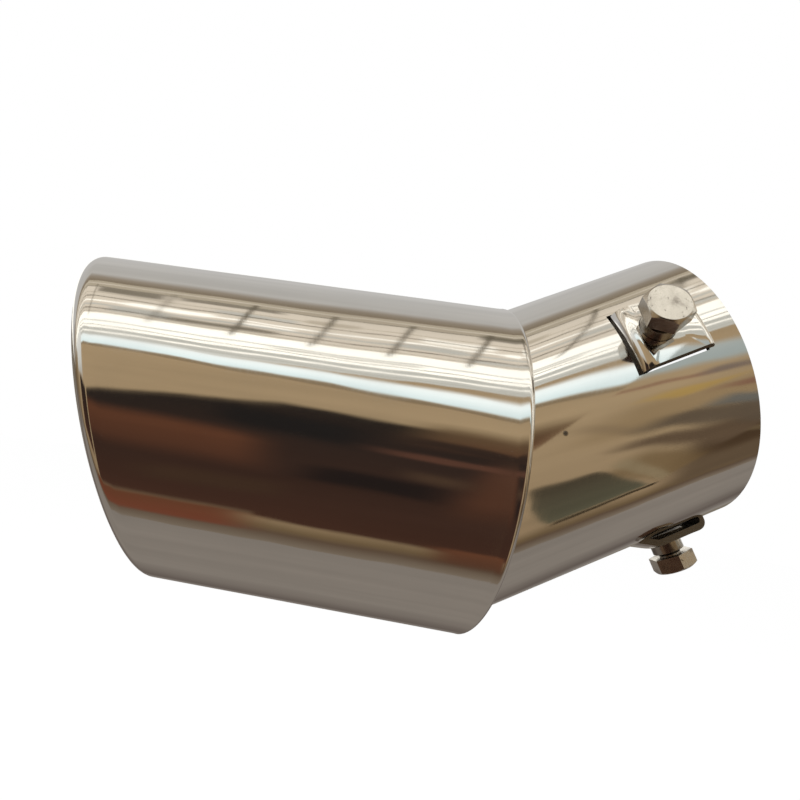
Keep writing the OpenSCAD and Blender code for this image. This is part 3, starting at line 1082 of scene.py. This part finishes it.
card("olive", [(185, -14), (292, -16), (552, -46), (368, -52)],
     [(0.065, 0.05, 0.032), (0.065, 0.05, 0.032), OLIVE, OLIVE], 478, (0, 0.06, 0.08, 0.04))
flat_card("olive_edge", [(368, -51), (556, -45.5), (560, -48), (372, -54)],
          (0.05, 0.036, 0.02), 472)
flat_card("olive_frame", [(290, -11), (292, -15), (566, -46), (580, -43)],
          (0.3, 0.235, 0.14), 472, (0.2, 0.2, 0.15, 0.1), 0.7)


def seen_share(tree):
    """1 for camera, glossy and transmission rays, and 0 for the light on rough surfaces."""
    path = tree.nodes.new("ShaderNodeLightPath")
    shiny = larger(tree, path.outputs["Is Glossy Ray"], path.outputs["Is Transmission Ray"])
    return larger(tree, path.outputs["Is Camera Ray"], shiny)


BACKDROP = 1.0  # strength of the white that is seen, straight or mirrored
FILL = 1.0  # strength of the white that lights rough surfaces


def build_world():
    world = bpy.data.worlds.new("studio")
    world.use_nodes = True
    bpy.context.scene.world = world
    tree = world.node_tree
    tree.nodes.clear()
    link = tree.links.new
    out = tree.nodes.new("ShaderNodeOutputWorld")
    sky = add(tree, "ShaderNodeBackground", Color=(1, 1, 1, 1), Strength=BACKDROP)
    fill = add(tree, "ShaderNodeBackground", Color=(1, 1, 1, 1), Strength=FILL)
    mix = tree.nodes.new("ShaderNodeMixShader")
    link(seen_share(tree), mix.inputs[0])
    link(fill.outputs[0], mix.inputs[1])
    link(sky.outputs[0], mix.inputs[2])
    link(mix.outputs[0], out.inputs["Surface"])


FLOOR_R = 6.0
FLOOR_Z = -0.62
FLOOR_GLOW = 0.75  # the floor's share of plain white where it is seen; the rest shows the shadow


def build_floor():
    """A pale floor well below the part, which is held in the air as in the photo."""
    count = 64
    turns = [t * math.pi / (count // 2) for t in range(count)]
    rim = [(FLOOR_R * math.cos(t), FLOOR_R * math.sin(t), FLOOR_Z) for t in turns]
    mesh = bpy.data.meshes.new("floor")
    mesh.from_pydata(rim, [], [tuple(range(count))])
    floor = new_object("floor", mesh)
    mat, tree, out = blank_material("floor_paper")
    link = tree.links.new
    paper = add(tree, "ShaderNodeBsdfDiffuse", Color=(0.98, 0.98, 0.98, 1))
    white = add(tree, "ShaderNodeEmission", Color=(1, 1, 1, 1), Strength=BACKDROP)
    share = add(tree, "ShaderNodeMath", operation="MULTIPLY")
    share.inputs[1].default_value = FLOOR_GLOW
    mix = tree.nodes.new("ShaderNodeMixShader")
    link(seen_share(tree), share.inputs[0])
    link(share.outputs[0], mix.inputs[0])
    link(paper.outputs[0], mix.inputs[1])
    link(white.outputs[0], mix.inputs[2])
    link(mix.outputs[0], out.inputs["Surface"])
    mesh.materials.append(mat)
    mat.cycles.emission_sampling = "NONE"


KEY_AT = (-0.4, -0.5, 1.0)
KEY_AIM = Vector((-0.08, 0, -0.03))


def build_key():
    """The one lamp, large and soft, which no shiny surface mirrors."""
    light = bpy.data.lights.new("key", "AREA")
    light.shape = "RECTANGLE"
    light.size, light.size_y = 1.0, 0.8
    light.energy = 9
    obj = new_object("key", light)
    obj.location = KEY_AT
    obj.rotation_euler = (KEY_AIM - obj.location).to_track_quat("-Z", "Y").to_euler()
    obj.visible_glossy = False
    obj.visible_camera = False


# the photograph's view, fitted to the part's edges: turns in radians, place in mm
YAW, PITCH, ROLL = 0.14782363, -0.04542912, 0.16429728
EYE = Vector((-93.9147, -160.1984, -21.4681))
FOCAL_PX = 620.7049
PHOTO_PX = 800
SENSOR = 36


def build_camera():
    turn = Matrix.Rotation(ROLL, 3, "Y") @ Matrix.Rotation(PITCH, 3, "X")
    turn = turn @ Matrix.Rotation(YAW, 3, "Z")
    data = bpy.data.cameras.new("camera")
    data.sensor_width = SENSOR
    data.lens = FOCAL_PX * SENSOR / PHOTO_PX
    data.clip_start, data.clip_end = 0.01, 30
    cam = new_object("camera", data)
    right, ahead, up = (Vector(row) for row in turn)
    m = Matrix((right, up, -ahead)).transposed().to_4x4()
    m.translation = EYE * MM
    cam.matrix_world = m
    bpy.context.scene.camera = cam


build_world()
build_floor()
build_key()
build_camera()
bpy.context.scene.view_settings.view_transform = "Standard"
